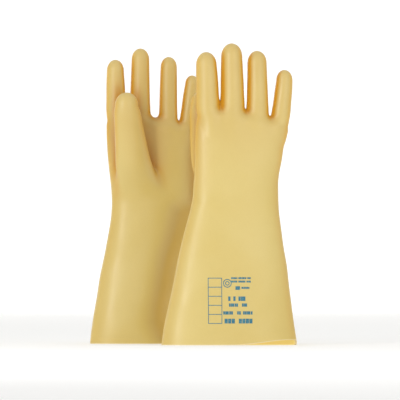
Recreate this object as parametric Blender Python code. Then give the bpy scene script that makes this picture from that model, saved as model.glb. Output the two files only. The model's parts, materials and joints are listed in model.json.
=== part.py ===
"""A pair of electrician's insulating gloves, standing upright on their straight-cut cuffs.

Metres, +Z up, the floor at Z = 0. X runs across the gloves from the thumb side to the
little-finger side, and Y runs through their thickness. The right-hand glove stands in
front (-Y) with its back to the front; the left-hand glove stands behind it, mirrored in Y,
with its palm to the front.

Each glove is one latex shell of even wall. The shell is lofted once, hollowed, and then
divided at its flex lines, so that every stretch between two flex lines is a rigid piece
with a bow-tie notch at each end for its bend.

Glove coordinates: u across (thumb side negative), w through the thickness (palm side
positive), z up.
"""

import math

import bmesh
import bpy
from mathutils import Vector

# Shell
WALL = 0.0029
FLEX_GAP = 0.0006
FLEX_MARGIN = math.radians(2.0)
BODY_SIDES = 32
STALL_SIDES = 14
SECTION_POWER = 2.3
CUTTER_REACH = 0.3
FREE_SIDE_REACH = 0.030
CELL_CLEARANCE = 0.0002
FINGER_NOTCH_REACH = 0.020
PALM_NOTCH_REACH = 0.040
WRIST_NOTCH_REACH = 0.100
HOLLOW_RUN_OUT = 0.010
SMOOTH_ANGLE = math.radians(35.0)

# Where the two gloves stand, and how far the left cuff hangs towards the little finger
RIGHT_AT = (0.03885, -0.085)
LEFT_AT = (-0.06035, 0.085)
LEFT_SWAY = 0.028
SWAY_TOP = 0.330
LEFT_BOW = 0.0070
BOW_HEIGHT = 0.150
BOW_LENGTH = 0.065
LEFT_STALL_FULLNESS = 0.86
LEFT_RING_SPREAD = 0.0050
RIGHT_THUMB_LEAN = -0.005
CUFF_RISE = 0.0060
CUFF_RISE_POWER = 1.6
CUFF_RISE_SWEEP = 1.95

# Cuff, wrist and palm: height, thumb-side edge, little-finger-side edge, thickness
BODY_SECTIONS = (
    (0.000, -0.0965, 0.0900, 0.062),
    (0.022, -0.0930, 0.0868, 0.061),
    (0.065, -0.0835, 0.0812, 0.058),
    (0.107, -0.0755, 0.0762, 0.054),
    (0.150, -0.0655, 0.0695, 0.049),
    (0.178, -0.0575, 0.0655, 0.045),
    (0.204, -0.0520, 0.0635, 0.042),
    (0.226, -0.0508, 0.0645, 0.041),
    (0.250, -0.0505, 0.0697, 0.040),
    (0.272, -0.0502, 0.0720, 0.038),
    (0.292, -0.0500, 0.0755, 0.035),
    (0.305, -0.0490, 0.0770, 0.031),
    (0.312, -0.0470, 0.0745, 0.027),
)
WRIST_AT = (0.006, 0.0, 0.204)
WRIST_FLEX = math.radians(30.0)
WRIST_EXTENSION = math.radians(30.0)

# Finger stalls: root u, tip u, crotch height, tip height, half width at the web and along
FINGERS = {
    "index": (-0.0325, -0.0345, 0.3285, 0.399, 0.0172, 0.0149),
    "middle": (0.0014, 0.0010, 0.3265, 0.410, 0.0178, 0.0154),
    "ring": (0.0360, 0.0361, 0.3190, 0.400, 0.0174, 0.0140),
    "little": (0.0686, 0.0757, 0.3160, 0.3745, 0.0140, 0.0120),
}
STALL_ROOT_DROP = 0.034
STALL_WEB_DROP = 0.006
STALL_WEB_RISE = 0.0044
STALL_TAPER_RISE = 0.011
STALL_ROOT_NARROWING = 0.0008
STALL_LOW_FULLNESS = 1.02
STALL_TIP_FULLNESS = 0.98
STALL_DEPTH_RATIO = 0.94
STALL_CURL = 0.006
FINGER_HINGE_RISE = 0.0110
MIDDLE_HINGE_SHARE = 0.42
TIP_HINGE_SHARE = 0.71
FINGER_EXTENSION = math.radians(10.0)
ROOT_FLEX = math.radians(45.0)
MIDDLE_FLEX = math.radians(50.0)
TIP_FLEX = math.radians(30.0)
DOME_STEPS = (28.0, 55.0, 77.0)

# Thumb stall: u, w, height, half width, half thickness
THUMB_SECTIONS = (
    (-0.0160, 0.0080, 0.215, 0.0290, 0.0110),
    (-0.0170, 0.0240, 0.243, 0.0280, 0.0150),
    (-0.0205, 0.0370, 0.268, 0.0232, 0.0138),
    (-0.0238, 0.0455, 0.300, 0.0214, 0.0138),
    (-0.0252, 0.0500, 0.329, 0.0176, 0.0132),
)
THUMB_DOME_LENGTH = 0.0185
THUMB_CUTTER_NEAR = 0.0152
THUMB_CUTTER_AWAY = 0.030
THUMB_CUTTER_LENGTH = 0.070
THUMB_ROOT_AT = (-0.0213, 0.0395, 0.277)
THUMB_TIP_AT = (-0.0240, 0.0466, 0.308)
THUMB_IN = math.radians(25.0)
THUMB_OUT = math.radians(30.0)
THUMB_TIP_IN = math.radians(40.0)

# Printed ladder of test-date boxes on the back of the cuff
GRID_LEFT = -0.0370
GRID_WIDTH = 0.0190
GRID_LOW = 0.0290
GRID_CELL = 0.0122
GRID_CELLS = 5
GRID_LINE = 0.0011
INK_THICKNESS = 0.0003
INK_GAP = 0.0003

LATEX_COLOUR = (0.72, 0.55, 0.20, 1.0)
LATEX_ROUGHNESS = 0.38
INK_COLOUR = (0.02, 0.13, 0.25, 1.0)
INK_ROUGHNESS = 0.6

# Directions in glove coordinates
ACROSS = Vector((1, 0, 0))
THROUGH = Vector((0, 1, 0))
UP = Vector((0, 0, 1))
UPRIGHT_AXES = (THROUGH, UP, ACROSS)


class Glove:
    """Where one glove stands, and how its shape differs from the other's."""

    def __init__(self, side, at, palm_sign):
        self.side = side
        self.at = at
        self.palm_sign = palm_sign
        self.sway = 0.0
        self.bow = 0.0
        self.fullness = 1.0
        self.ring_spread = 0.0
        self.thumb_lean = 0.0
        self.cuff_rise = 0.0

    def place(self, u, w, z):
        """The world point of a point in glove coordinates."""
        drift = self.sway * max(0.0, 1.0 - z / SWAY_TOP)
        drift += self.bow * math.exp(-(((z - BOW_HEIGHT) / BOW_LENGTH) ** 2))
        return Vector((self.at[0] + u + drift, self.at[1] + self.palm_sign * w, z))


def clear_scene():
    for thing in list(bpy.data.objects):
        bpy.data.objects.remove(thing, do_unlink=True)


def make_material(name, colour, roughness):
    material = bpy.data.materials.new(name)
    material.use_nodes = True
    shader = material.node_tree.nodes["Principled BSDF"]
    shader.inputs["Base Color"].default_value = colour
    shader.inputs["Roughness"].default_value = roughness
    return material


def object_from(name, verts, faces):
    """A mesh object with its faces turned outwards."""
    mesh = bpy.data.meshes.new(name)
    mesh.from_pydata(verts, [], faces)
    shape = bmesh.new()
    shape.from_mesh(mesh)
    bmesh.ops.recalc_face_normals(shape, faces=shape.faces)
    shape.to_mesh(mesh)
    shape.free()
    thing = bpy.data.objects.new(name, mesh)
    bpy.context.scene.collection.objects.link(thing)
    return thing


def boolean(target, cutters, operation):
    """Applies one Boolean per cutter to the target and removes the cutters."""
    for cutter in cutters:
        step = target.modifiers.new("cut", "BOOLEAN")
        step.operation = operation
        step.solver = "EXACT"
        step.object = cutter
    graph = bpy.context.evaluated_depsgraph_get()
    mesh = bpy.data.meshes.new_from_object(target.evaluated_get(graph))
    target.modifiers.clear()
    target.data = mesh
    for cutter in cutters:
        bpy.data.objects.remove(cutter, do_unlink=True)
    return target


def copy_of(thing, name):
    twin = thing.copy()
    twin.data = thing.data.copy()
    twin.name = name
    bpy.context.scene.collection.objects.link(twin)
    return twin


def oval(half_u, half_w, sides, power):
    """Points of a flattened oval about its own centre, as (u, w) pairs."""
    points = []
    for index in range(sides):
        angle = 2.0 * math.pi * index / sides
        across = math.copysign(abs(math.cos(angle)) ** (2.0 / power), math.cos(angle))
        through = math.copysign(abs(math.sin(angle)) ** (2.0 / power), math.sin(angle))
        points.append((half_u * across, half_w * through))
    return points


def loft(name, rings):
    """Skins a list of rings of points, each ring one section, and closes both ends."""
    sides = len(rings[0])
    verts = [point for ring in rings for point in ring]
    faces = [list(range(sides))]
    for level in range(len(rings) - 1):
        low = level * sides
        for index in range(sides):
            after = (index + 1) % sides
            faces.append([low + index, low + after, low + sides + after, low + sides + index])
    faces.append(list(range(len(verts) - sides, len(verts))))
    return object_from(name, verts, faces)


def body_rings(glove, inset):
    """Sections of the cuff and palm. The hollow's sections run out below the cuff."""
    rings = []
    for height, left, right, thickness in BODY_SECTIONS:
        centre = (left + right) / 2.0
        half = (right - left) / 2.0 - inset
        outline = oval(half, thickness / 2.0 - inset, BODY_SIDES, SECTION_POWER)
        ring = []
        for across, through in outline:
            rise = rim_rise(glove, across, through, half) if height == 0.0 else 0.0
            ring.append(glove.place(centre + across, through, height + rise))
        rings.append(ring)
    if inset:
        rings.insert(0, [point - UP * HOLLOW_RUN_OUT for point in rings[0]])
        rings[-1] = [point - UP * inset for point in rings[-1]]
    return rings


def rim_rise(glove, across, through, half):
    """How far the cut edge stands off the floor at the back of the cuff."""
    if through >= 0.0 or across <= 0.0:
        return 0.0
    share = (across / half) ** CUFF_RISE_POWER
    return glove.cuff_rise * math.sin(CUFF_RISE_SWEEP * share)


def dome(along, centre, half_u, half_w, height):
    """Rings that close a stall with a rounded end, without the ring at its base."""
    rings = []
    for degrees in DOME_STEPS:
        angle = math.radians(degrees)
        middle = centre + along * (height * math.sin(angle))
        shrink = math.cos(angle)
        ring = [
            middle + ACROSS * (across * shrink) + THROUGH * (through * shrink)
            for across, through in oval(half_u, half_w, STALL_SIDES, 2.0)
        ]
        rings.append(ring)
    return rings


def stall_rings(sections, inset, dome_height):
    """Rings in glove coordinates along sections of (centre, half u, half w)."""
    rings = []
    for centre, half_u, half_w in sections:
        outline = oval(half_u - inset, half_w - inset, STALL_SIDES, 2.0)
        rings.append([centre + ACROSS * across + THROUGH * through for across, through in outline])
    last, half_u, half_w = sections[-1]
    along = (last - sections[-2][0]).normalized()
    rings += dome(along, last, half_u - inset, half_w - inset, dome_height - inset)
    return rings


def finger_centre(glove, finger, height):
    """Centre of a stall at a height: it leans in u and curls a little to the palm."""
    root_u, tip_u, crotch, tip_height = FINGERS[finger][:4]
    share = (height - crotch) / (tip_height - crotch)
    curl = STALL_CURL * max(0.0, share) ** 2
    spread = glove.ring_spread if finger == "ring" else 0.0
    return Vector((root_u + spread + (tip_u - root_u) * share, curl, height))


def finger_sections(glove, finger):
    """Sections of one finger stall from inside the palm, and the height of its round end."""
    _, _, crotch, tip_height, web_half, half = FINGERS[finger]
    half = half * glove.fullness
    dome_base = tip_height - half
    heights_and_halves = (
        (crotch - STALL_ROOT_DROP, web_half - STALL_ROOT_NARROWING),
        (crotch - STALL_WEB_DROP, web_half),
        (crotch + STALL_WEB_RISE, (web_half + half) / 2.0),
        (crotch + STALL_TAPER_RISE, half * STALL_LOW_FULLNESS),
        ((crotch + tip_height) / 2.0, half),
        (dome_base, half * STALL_TIP_FULLNESS),
    )
    sections = [
        (finger_centre(glove, finger, height), width, min(width, half) * STALL_DEPTH_RATIO)
        for height, width in heights_and_halves
    ]
    return sections, half * STALL_TIP_FULLNESS


def thumb_sections(glove):
    """Sections of the thumb stall, which leans out of the palm."""
    sections = []
    for u, w, height, half_u, half_w in THUMB_SECTIONS:
        sections.append((Vector((u + glove.thumb_lean, w, height)), half_u, half_w))
    return sections


def placed(glove, rings):
    return [[glove.place(*point) for point in ring] for ring in rings]


def glove_form(glove, inset, name):
    """The closed outer form of a glove, or the form of its hollow when inset."""
    form = loft(name, body_rings(glove, inset))
    others = []
    for finger in FINGERS:
        sections, dome_height = finger_sections(glove, finger)
        rings = stall_rings(sections, inset, dome_height)
        others.append(loft(name + "_" + finger, placed(glove, rings)))
    rings = stall_rings(thumb_sections(glove), inset, THUMB_DOME_LENGTH)
    others.append(loft(name + "_thumb", placed(glove, rings)))
    return boolean(form, others, "UNION")


def notch(reach, closing, opening, side):
    """Edge of a flex notch as (across, along) points. Side -1 is below it, +1 above."""
    lift = side * FLEX_GAP / 2.0
    palmar = math.tan((closing + FLEX_MARGIN) / 2.0)
    dorsal = math.tan((opening + FLEX_MARGIN) / 2.0)
    return [
        (-reach, lift + side * reach * dorsal),
        (0.0, lift),
        (reach, lift + side * reach * palmar),
    ]


def prism(name, glove, origin, axes, profile, low, high):
    """A straight solid: a profile of (across, along) points run between two widths."""
    across_axis, along_axis, width_axis = axes
    verts = []
    for width in (low, high):
        for across, along in profile:
            point = origin + across_axis * across + along_axis * along + width_axis * width
            verts.append(glove.place(*point))
    count = len(profile)
    faces = [list(range(count)), list(range(count, 2 * count))]
    for index in range(count):
        after = (index + 1) % count
        faces.append([index, after, count + after, count + index])
    return object_from(name, verts, faces)


def link_profile(reach, low_bends, high_bends, high_at):
    """Profile of a piece between two hinges, the upper one at an (across, along) offset."""
    upper = [
        (across + high_at[0], along + high_at[1])
        for across, along in notch(reach, *high_bends, -1)
    ]
    return notch(reach, *low_bends, 1) + upper[::-1]


def end_profile(reach, bends, length):
    """Profile of everything over a hinge, up to a length beyond it."""
    return notch(reach, *bends, 1) + [(reach, length), (-reach, length)]


def clearing_profile(reach, bends, length):
    """Profile of what a piece under a hinge gives up to the pieces over it."""
    return notch(reach, *bends, -1) + [(reach, length), (-reach, length)]


def finger_hinges(glove, finger):
    """The three hinge points of a finger stall, in glove coordinates."""
    _, _, crotch, tip_height = FINGERS[finger][:4]
    root = crotch + FINGER_HINGE_RISE
    run = tip_height - root
    heights = (root, root + run * MIDDLE_HINGE_SHARE, root + run * TIP_HINGE_SHARE)
    return [finger_centre(glove, finger, height) for height in heights]


def stall_cell(glove, finger, clearance):
    """How far a stall's cutter runs each way in u: half way to its neighbours."""
    order = list(FINGERS)
    place = order.index(finger)
    centre = finger_hinges(glove, finger)[0].x
    low = -FREE_SIDE_REACH
    high = FREE_SIDE_REACH
    if place > 0:
        before = stall_side(glove, order[place - 1], 1)
        low = (before + stall_side(glove, finger, -1)) / 2.0 - centre
    if place < len(order) - 1:
        after = stall_side(glove, order[place + 1], -1)
        high = (stall_side(glove, finger, 1) + after) / 2.0 - centre
    return low + CELL_CLEARANCE + clearance, high - CELL_CLEARANCE - clearance


def stall_side(glove, finger, side):
    """The u of a stall's side at its root hinge, with the web's half width."""
    return finger_hinges(glove, finger)[0].x + side * FINGERS[finger][4]


def finish_piece(thing, material):
    thing.data.materials.clear()
    thing.data.materials.append(material)
    thing.data.shade_smooth()
    thing.data.set_sharp_from_angle(angle=SMOOTH_ANGLE)


def set_origin(thing, point):
    """Puts the object's origin on a joint's axis without moving the shape."""
    for vertex in thing.data.vertices:
        vertex.co -= point
    thing.location = point


def cut_piece(glove, shell, name, cutter, hinge, material):
    piece = boolean(copy_of(shell, f"{glove.side}_{name}"), [cutter], "INTERSECT")
    finish_piece(piece, material)
    set_origin(piece, glove.place(*hinge))
    return piece


def cut_finger(glove, shell, finger, material):
    """Cuts one stall into its base, middle and tip, each on its own hinge."""
    bends = (
        (ROOT_FLEX, FINGER_EXTENSION),
        (MIDDLE_FLEX, 0.0),
        (TIP_FLEX, 0.0),
    )
    hinges = finger_hinges(glove, finger)
    low, high = stall_cell(glove, finger, CELL_CLEARANCE * 2.0)
    profiles = [end_profile(FINGER_NOTCH_REACH, bends[2], CUTTER_REACH)]
    for index in (1, 0):
        step = hinges[index + 1] - hinges[index]
        profile = link_profile(
            FINGER_NOTCH_REACH, bends[index], bends[index + 1], (step.y, step.z)
        )
        profiles.insert(0, profile)
    for part, hinge, profile in zip(("base", "middle", "tip"), hinges, profiles):
        cutter = prism("cutter", glove, hinge, UPRIGHT_AXES, profile, low, high)
        cut_piece(glove, shell, f"{finger}_{part}", cutter, hinge, material)


def thumb_axes():
    """Across (outwards), along the thumb, and through it."""
    along = (Vector(THUMB_TIP_AT) - Vector(THUMB_ROOT_AT)).normalized()
    across = (along * ACROSS.dot(along) - ACROSS).normalized()
    return across, along, across.cross(along)


def thumb_hinges(glove):
    lean = ACROSS * glove.thumb_lean
    return [Vector(THUMB_ROOT_AT) + lean, Vector(THUMB_TIP_AT) + lean]


def cut_thumb(glove, shell, material):
    """Cuts the thumb stall into its base and tip, each on its own hinge."""
    axes = thumb_axes()
    root, tip = thumb_hinges(glove)
    tip_bends = (0.0, THUMB_TIP_IN)
    tip_at = (0.0, (tip - root).length)
    profile = link_profile(PALM_NOTCH_REACH, (THUMB_OUT, THUMB_IN), tip_bends, tip_at)
    cutter = prism("cutter", glove, root, axes, profile, *thumb_cutter_run(axes))
    cut_piece(glove, shell, "thumb_base", cutter, root, material)
    profile = end_profile(PALM_NOTCH_REACH, tip_bends, THUMB_CUTTER_LENGTH)
    cutter = prism("cutter", glove, tip, axes, profile, *thumb_cutter_run(axes))
    cut_piece(glove, shell, "thumb_tip", cutter, tip, material)


def thumb_cutter_run(axes):
    """Run of a thumb cutter: a little towards the palm, further away from it."""
    if axes[2].y > 0.0:
        return -THUMB_CUTTER_NEAR, THUMB_CUTTER_AWAY
    return -THUMB_CUTTER_AWAY, THUMB_CUTTER_NEAR


def wrist_part(glove, shell, name, profile):
    """The part of the shell on one side of the wrist notch."""
    hinge = Vector(WRIST_AT)
    cutter = prism("cutter", glove, hinge, UPRIGHT_AXES, profile, -CUTTER_REACH, CUTTER_REACH)
    return boolean(copy_of(shell, f"{glove.side}_{name}"), [cutter], "INTERSECT")


def cut_gauntlet(glove, shell, material):
    """The cuff: everything under the wrist notch."""
    profile = clearing_profile(WRIST_NOTCH_REACH, (WRIST_FLEX, WRIST_EXTENSION), -CUTTER_REACH)
    gauntlet = wrist_part(glove, shell, "gauntlet", profile)
    finish_piece(gauntlet, material)
    set_origin(gauntlet, glove.place(0.0, 0.0, 0.0))


def cut_hand(glove, shell, material):
    """The palm: everything over the wrist notch, less what the stalls' pieces take."""
    profile = end_profile(WRIST_NOTCH_REACH, (WRIST_FLEX, WRIST_EXTENSION), CUTTER_REACH)
    hand = wrist_part(glove, shell, "hand", profile)
    cutters = []
    profile = clearing_profile(PALM_NOTCH_REACH, (ROOT_FLEX, FINGER_EXTENSION), CUTTER_REACH)
    for finger in FINGERS:
        root = finger_hinges(glove, finger)[0]
        cell = stall_cell(glove, finger, 0.0)
        cutters.append(prism("cutter", glove, root, UPRIGHT_AXES, profile, *cell))
    axes = thumb_axes()
    root = thumb_hinges(glove)[0]
    profile = clearing_profile(PALM_NOTCH_REACH, (THUMB_OUT, THUMB_IN), CUTTER_REACH)
    cutters.append(prism("cutter", glove, root, axes, profile, *thumb_cutter_run(axes)))
    boolean(hand, cutters, "DIFFERENCE")
    finish_piece(hand, material)
    set_origin(hand, glove.place(*WRIST_AT))


def back_surface(glove, u, z):
    """Depth w of the cuff's back at a point, on the straight run between sections."""
    for low, high in zip(BODY_SECTIONS, BODY_SECTIONS[1:]):
        if low[0] <= z <= high[0]:
            share = (z - low[0]) / (high[0] - low[0])
            break
    left = low[1] + (high[1] - low[1]) * share
    right = low[2] + (high[2] - low[2]) * share
    thickness = low[3] + (high[3] - low[3]) * share
    offset = abs(u - (left + right) / 2.0) / ((right - left) / 2.0)
    return -thickness / 2.0 * (1.0 - offset**SECTION_POWER) ** (1.0 / SECTION_POWER)


def ink_ladder(glove, material):
    """The ladder of boxes, one thin printed layer that follows the cuff's back."""
    columns = [0.0, GRID_LINE, GRID_WIDTH - GRID_LINE, GRID_WIDTH]
    rows = []
    for rung in range(GRID_CELLS + 1):
        rows += [rung * GRID_CELL, rung * GRID_CELL + GRID_LINE]
    verts = []
    for layer in (INK_GAP, INK_GAP + INK_THICKNESS):
        for height in rows:
            for across in columns:
                u = GRID_LEFT + across
                z = GRID_LOW + height
                verts.append(glove.place(u, back_surface(glove, u, z) - layer, z))
    wide = len(columns)
    sheet = wide * len(rows)
    cells = [
        (row, column)
        for row in range(len(rows) - 1)
        for column in range(wide - 1)
        if row % 2 == 0 or column != 1
    ]
    faces = []
    rim = []
    for row, column in cells:
        low = row * wide + column
        quad = [low, low + 1, low + wide + 1, low + wide]
        faces.append(quad)
        faces.append([corner + sheet for corner in reversed(quad)])
        for start, end in zip(quad, quad[1:] + quad[:1]):
            if (end, start) in rim:
                rim.remove((end, start))
            else:
                rim.append((start, end))
    for start, end in rim:
        faces.append([end, start, start + sheet, end + sheet])
    ladder = object_from(glove.side + "_date_grid", verts, faces)
    finish_piece(ladder, material)
    set_origin(ladder, glove.place(GRID_LEFT, 0.0, GRID_LOW))


def build_glove(glove, latex, ink):
    """All the pieces of one glove."""
    shell = glove_form(glove, 0.0, "form")
    hollow = glove_form(glove, WALL, "hollow")
    boolean(shell, [hollow], "DIFFERENCE")
    cut_gauntlet(glove, shell, latex)
    cut_hand(glove, shell, latex)
    for finger in FINGERS:
        cut_finger(glove, shell, finger, latex)
    cut_thumb(glove, shell, latex)
    ink_ladder(glove, ink)
    bpy.data.objects.remove(shell, do_unlink=True)


def main():
    clear_scene()
    latex = make_material("latex", LATEX_COLOUR, LATEX_ROUGHNESS)
    ink = make_material("ink", INK_COLOUR, INK_ROUGHNESS)
    right = Glove("right", RIGHT_AT, 1.0)
    right.thumb_lean = RIGHT_THUMB_LEAN
    right.cuff_rise = CUFF_RISE
    left = Glove("left", LEFT_AT, -1.0)
    left.sway = LEFT_SWAY
    left.bow = LEFT_BOW
    left.fullness = LEFT_STALL_FULLNESS
    left.ring_spread = LEFT_RING_SPREAD
    for glove in (right, left):
        build_glove(glove, latex, ink)


main()
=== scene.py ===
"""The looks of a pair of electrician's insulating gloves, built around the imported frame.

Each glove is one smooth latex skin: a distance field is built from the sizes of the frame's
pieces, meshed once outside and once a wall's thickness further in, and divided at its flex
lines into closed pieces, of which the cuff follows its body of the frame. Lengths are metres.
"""

import json
import math

import bmesh
import bpy
import numpy as np
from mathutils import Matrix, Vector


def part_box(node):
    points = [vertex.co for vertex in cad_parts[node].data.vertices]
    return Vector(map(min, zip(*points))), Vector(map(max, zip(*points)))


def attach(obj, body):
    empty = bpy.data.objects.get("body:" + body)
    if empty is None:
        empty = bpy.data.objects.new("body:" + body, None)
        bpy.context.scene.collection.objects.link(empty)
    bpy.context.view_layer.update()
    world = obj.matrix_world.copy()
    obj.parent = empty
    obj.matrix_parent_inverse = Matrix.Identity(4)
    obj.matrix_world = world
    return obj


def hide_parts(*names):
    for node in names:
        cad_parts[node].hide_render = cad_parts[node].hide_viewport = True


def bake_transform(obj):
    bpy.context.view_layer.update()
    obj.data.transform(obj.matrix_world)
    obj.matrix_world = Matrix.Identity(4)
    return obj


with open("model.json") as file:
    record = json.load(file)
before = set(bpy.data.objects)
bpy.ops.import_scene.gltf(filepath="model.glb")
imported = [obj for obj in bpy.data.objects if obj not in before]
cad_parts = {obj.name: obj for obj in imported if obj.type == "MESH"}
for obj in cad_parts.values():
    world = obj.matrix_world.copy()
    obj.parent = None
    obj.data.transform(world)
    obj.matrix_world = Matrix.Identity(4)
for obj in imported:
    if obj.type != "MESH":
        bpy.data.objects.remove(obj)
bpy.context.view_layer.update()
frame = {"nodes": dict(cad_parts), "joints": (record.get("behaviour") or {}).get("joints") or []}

import openvdb
from mathutils import Vector
from mathutils.bvhtree import BVHTree

# Wall and meshing
WALL = 0.0029
CELL = 0.0016
MARGIN = 0.010
BELOW_FLOOR = 0.012
CUT_TOLERANCE = 0.02 * CELL
SHORTEST_LOOP = 8

# Cuff and palm
SECTION_POWER = 2.3
PROFILE_SOFTNESS = 0.007
CUFF_SLICES = 12
HAND_SLICES = 10
WRIST_GAP = 0.010
HAND_SPAN = 0.098
LOWEST_SLICE = 0.0015
PALM_TOP_BELOW_CROTCH = 0.026
PALM_TOP_ROUNDING = 0.018
PALM_TUCK = 0.0010
PALM_TUCK_FROM = 0.055
PALM_TUCK_OVER = 0.050
PALM_TUCK_THROUGH = 0.35
HEEL_FULLNESS = 0.0042
HEEL_ABOVE_WRIST = 0.010
HEEL_SPREAD = 0.040
WAVE_SLOW = 0.00045
WAVE_QUICK = 0.00018
WAVE_HAND_SHARE = 0.35
WAVE_FADE = 0.060

# Finger stalls: FINGER_TAPER is (rise above the crotch, share of the stall's half width)
FINGERS = ("index", "middle", "ring", "little")
CROTCH_BELOW_HINGE = 0.011
FINGER_TAPER = ((-0.036, 0.80), (-0.016, 1.04), (-0.002, 1.11), (0.010, 1.05), (0.030, 1.02))
FINGER_TIP_SHARE = 0.94
STALL_TOP_SHIFT = {"left_index": -0.0036, "left_middle": 0.0014, "right_index": -0.0012}
FINGER_DOME_RATIO = 1.28
FINGER_DEPTH_SHARE = 0.94
FINGER_DEPTH_LIMIT = 1.02
FINGER_SOFTNESS = 0.004
FINGER_LOW_END = 0.034
FINGER_BLEND = 0.0032
FINGER_PALM_BLEND = 0.009
EDGE_BLEND = 0.003
EDGE_BLEND_FROM = 0.008
EDGE_BLEND_OVER = 0.014

# Thumb: THUMB_SECTIONS is (rise above its root, share of the half width, half depth)
THUMB_HALF = 0.0210
THUMB_TIP_SHARE = 0.80
THUMB_DOME_RATIO = 1.15
THUMB_POWER = 2.1
THUMB_SOFTNESS = 0.006
THUMB_SECTIONS = (
    (-0.108, 0.30, 0.0020),
    (-0.086, 0.80, 0.0060),
    (-0.062, 1.18, 0.0108),
    (-0.034, 1.30, 0.0150),
    (-0.009, 1.15, 0.0142),
    (0.023, 1.00, 0.0140),
    (0.046, 0.90, 0.0136),
)
THUMB_TIP_DEPTH = 0.0130
THUMB_LOW_END = 0.106
THUMB_LOW_SWAY = 0.7
THUMB_LOW_SINK = 3.3
THUMB_DEEPEST = -0.003
THUMB_CURL = 1.6
THUMB_CURL_FROM = 0.030
THUMB_BLEND = 0.008
THUMB_LOW_BLEND = 0.016
THUMB_LOW_BLEND_FROM = 0.010
THUMB_LOW_BLEND_OVER = 0.045

# Dents of the palm side, and how much painted shade deepens their colour. PALM_DENT_LINE is
# (right of the middle stall, height), VALLEY_LINE (in from the cuff's edge, height). HEEL is
# painted shade alone.
PALM_DENT_LINE = ((0.012, 0.300), (0.014, 0.262))
PALM_DENT_DEPTH = 0.0030
PALM_DENT_WIDTH = 0.022
PALM_DENT_SHADE = 0.26
VALLEY_LINE = (
    (0.060, 0.178),
    (0.078, 0.115),
    (0.084, 0.084),
    (0.090, 0.052),
    (0.092, 0.030),
    (0.084, 0.012),
)
VALLEY_DEPTH = 0.0085
VALLEY_WIDTHS = (0.018, 0.024)
VALLEY_SHADE = 0.62
HEEL_HEIGHTS = (0.322, 0.290, 0.255, 0.220, 0.185)
HEEL_INSET = 0.002
HEEL_WIDTHS = (0.012, 0.020)
HEEL_SHADE = 0.90
DENT_FADE = 0.010
SIDE_CHANGE = 0.024

# Where the skin is divided
BLEND_LENGTH_FACTOR = 1.6
WRIST_ZONE = 0.024
WEB_CLEARANCE = 0.0030
WEB_SEARCH = (0.080, 0.150)
WEB_SHARES = (0.40, 0.45, 0.50, 0.55, 0.60)
THUMB_ROOT_RADIUS = 0.022
THUMB_TIP_RADIUS = 0.0195
THUMB_INWARD = 0.0165
THUMB_DOWNWARD = 0.030

# Painted shade on the skin: deeper colour in creases and on walls that turn to the sides
CREASE_REACHES = (0.005, 0.011, 0.022, 0.038)
EDGE_LOW = 0.20
EDGE_HIGH = 0.56
EDGE_RISE_FROM = 0.20
EDGE_RISE_OVER = 0.10
TURNED_RIGHT = 0.34
TURNED_LEFT = 0.55
TURNED_OVER = 0.45

# The cuff's edge
RIM_LINE = 0.0016
RIM_LIFT_HEIGHT = 0.055
RIM_RISE = 0.0072
RIM_SWEEP = 1.95
RIM_POWER = 1.6
RIM_BACK_FROM = -0.05
RIM_BACK_OVER = 0.35

JOINTS = {joint["name"]: joint for joint in frame["joints"]}


class Profile:
    """A smooth curve through values measured at rising heights, straight beyond them."""

    def __init__(self, heights, values, softness=PROFILE_SOFTNESS):
        step = 0.001
        reach = 6
        pad = reach * softness
        beyond = 0.03
        grid = np.arange(heights[0] - pad - beyond, heights[-1] + pad + beyond, step)
        line = np.interp(grid, heights, values)
        first = (values[1] - values[0]) / (heights[1] - heights[0])
        last = (values[-1] - values[-2]) / (heights[-1] - heights[-2])
        low = grid < heights[0]
        high = grid > heights[-1]
        line[low] = values[0] + (grid[low] - heights[0]) * first
        line[high] = values[-1] + (grid[high] - heights[-1]) * last
        count = max(1, int(3 * softness / step))
        kernel = np.exp(-0.5 * (np.arange(-count, count + 1) * step / softness) ** 2)
        kernel /= kernel.sum()
        padded = np.pad(line, count, mode="reflect", reflect_type="odd")
        self.grid = grid
        self.line = np.convolve(padded, kernel, mode="valid")

    def __call__(self, heights):
        return np.interp(heights, self.grid, self.line)


def mesh_values(items, key, width=1, kind=float):
    """One property of all of a mesh's vertices, edges, faces or corners, as an array."""
    values = np.empty(len(items) * width, dtype=kind)
    items.foreach_get(key, values)
    return values.reshape(-1, width) if width > 1 else values


def slice_extent(node, height):
    """Least and greatest x and y of a CAD node where it crosses a height."""
    mesh = frame["nodes"][node].data
    points = mesh_values(mesh.vertices, "co", 3)
    edges = mesh_values(mesh.edges, "vertices", 2, np.int32)
    start, end = points[edges].transpose(1, 0, 2)
    crosses = (start[:, 2] < height) != (end[:, 2] < height)
    start, end = start[crosses], end[crosses]
    share = ((height - start[:, 2]) / (end[:, 2] - start[:, 2]))[:, None]
    cut = start + (end - start) * share
    return cut[:, 0].min(), cut[:, 0].max(), cut[:, 1].min(), cut[:, 1].max()


def smooth_min(first, second, reach):
    """The lesser of two distances, with a fillet of about the reach where they meet."""
    overlap = np.maximum(reach - np.abs(first - second), 0.0) / reach
    return np.minimum(first, second) - overlap * overlap * reach * 0.25


def smooth_step(value):
    value = np.clip(value, 0.0, 1.0)
    return value * value * (3.0 - 2.0 * value)


def oval_distance(across, through, along, half_u, half_w, half_a, power):
    """Near distance to a flattened oval form, from offsets to its centre."""
    u = np.abs(across) / half_u
    w = np.abs(through) / half_w
    a = np.abs(along) / half_a
    level = (u**power + w**power + a**power) ** (1.0 / power) + 1e-9
    slope = np.sqrt(
        (u ** (power - 1.0) / half_u) ** 2
        + (w ** (power - 1.0) / half_w) ** 2
        + (a ** (power - 1.0) / half_a) ** 2
    )
    slope /= level ** (power - 1.0)
    return (level - 1.0) / np.maximum(slope, 1.0)


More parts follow.
